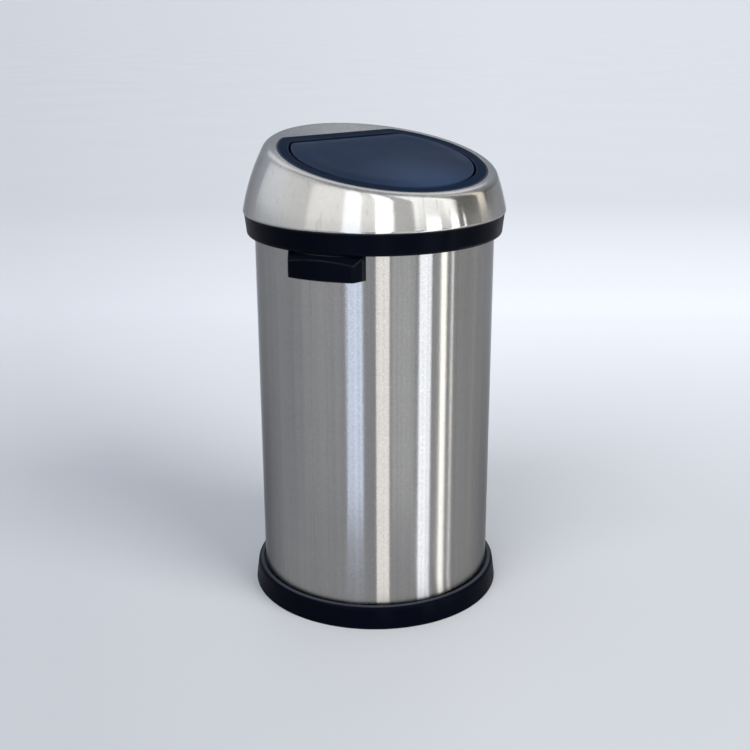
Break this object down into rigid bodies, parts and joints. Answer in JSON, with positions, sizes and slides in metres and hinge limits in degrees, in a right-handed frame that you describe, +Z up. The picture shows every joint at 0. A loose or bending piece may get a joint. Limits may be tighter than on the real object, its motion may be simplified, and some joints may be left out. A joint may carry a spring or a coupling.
{
  "type": "touch-top waste bin",
  "caption": "Round brushed-steel waste bin on a plastic base ring, with a carrying handle and a lift-off domed lid whose sloping D-shaped flap springs open at a touch.",
  "frame": {"origin": "centre of the base ring's floor face, on the bin's axis", "axes": "+Z up along the body, -Y towards the lid's front (latch side), X along the flap's hinge line"},
  "size_m": [0.3758, 0.3758, 0.6834],
  "materials": {
    "body_steel": "brushed round the tube, matt",
    "dome_steel": "brushed round the dome, satin",
    "pan_steel": "mill finish",
    "black_plastic": "smooth satin moulding",
    "bezel_plastic": "satin, fine texture",
    "flap_plastic": "satin with light handling marks",
    "inner_plastic": "moulded, unpolished",
    "latch_plastic": "natural acetal",
    "pin_steel": "drawn wire",
    "spring_steel": "spring wire",
    "screw_steel": "zinc plated"
  },
  "bodies": {
    "bin": {"body_shell": "body_steel", "bottom_pan": "pan_steel", "base_ring": "black_plastic", "top_rim": "inner_plastic", "carry_handle": "black_plastic", "handle_back_plate": "inner_plastic", "handle_screws": "screw_steel"},
    "ring": {"bag_ring": "inner_plastic"},
    "lid": {"lid_collar": "black_plastic", "lid_dome": "dome_steel", "lid_bezel": "bezel_plastic", "bezel_clamp_frame": "inner_plastic", "hinge_pin": "pin_steel", "latch_housing": "inner_plastic", "latch_screws": "screw_steel", "latch_spring": "spring_steel"},
    "flap": {"flap_panel": "flap_plastic", "flap_underside": "inner_plastic", "flap_screws": "screw_steel", "flap_striker": "latch_plastic", "hinge_spring_left": "spring_steel", "hinge_spring_right": "spring_steel"},
    "latch": {"latch_slider": "latch_plastic"}
  },
  "joints": [
    {"name": "lid_turn", "type": "hinge", "parent": "bin", "child": "ring", "pos_m": [0, 0, 0.5678], "axis": [0, 0, 1], "continuous": true},
    {"name": "lid_lift", "type": "slide", "parent": "ring", "child": "lid", "axis": [0, 0, 1], "range_m": [0, 0.15]},
    {"name": "flap_hinge", "type": "hinge", "parent": "lid", "child": "flap", "pos_m": [0, 0.07047, 0.66487], "axis": [-1, 0, 0], "range_deg": [0, 88]},
    {"name": "latch_press", "type": "slide", "parent": "lid", "child": "latch", "axis": [0, -0.2018, 0.9794], "range_m": [-0.004, 0], "stiffness_N_per_m": 400, "springref_m": 0.001, "deforming": ["latch_spring"]}
  ]
}
